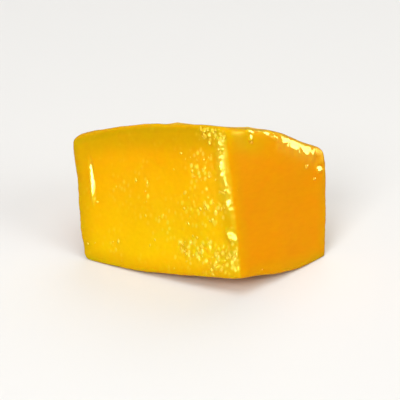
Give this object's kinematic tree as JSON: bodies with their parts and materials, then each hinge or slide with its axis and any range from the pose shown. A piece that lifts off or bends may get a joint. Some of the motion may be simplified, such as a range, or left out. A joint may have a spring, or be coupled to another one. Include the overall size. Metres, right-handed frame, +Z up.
{
  "type": "mango chunk",
  "caption": "One block of peeled fresh mango flesh with flat knife cuts, soft edges and a rounded top where the skin was.",
  "frame": {"origin": "on the surface the chunk stands on, under the middle of its box", "axes": "+X along the chunk's longest side, to the right of the view of its two front faces; +Y away from that view; +Z up"},
  "size_m": [0.0444, 0.0352, 0.0284],
  "materials": {
    "flesh": "wet translucent fruit flesh"
  },
  "bodies": {
    "root": {"mango_chunk": "flesh"}
  },
  "joints": []
}
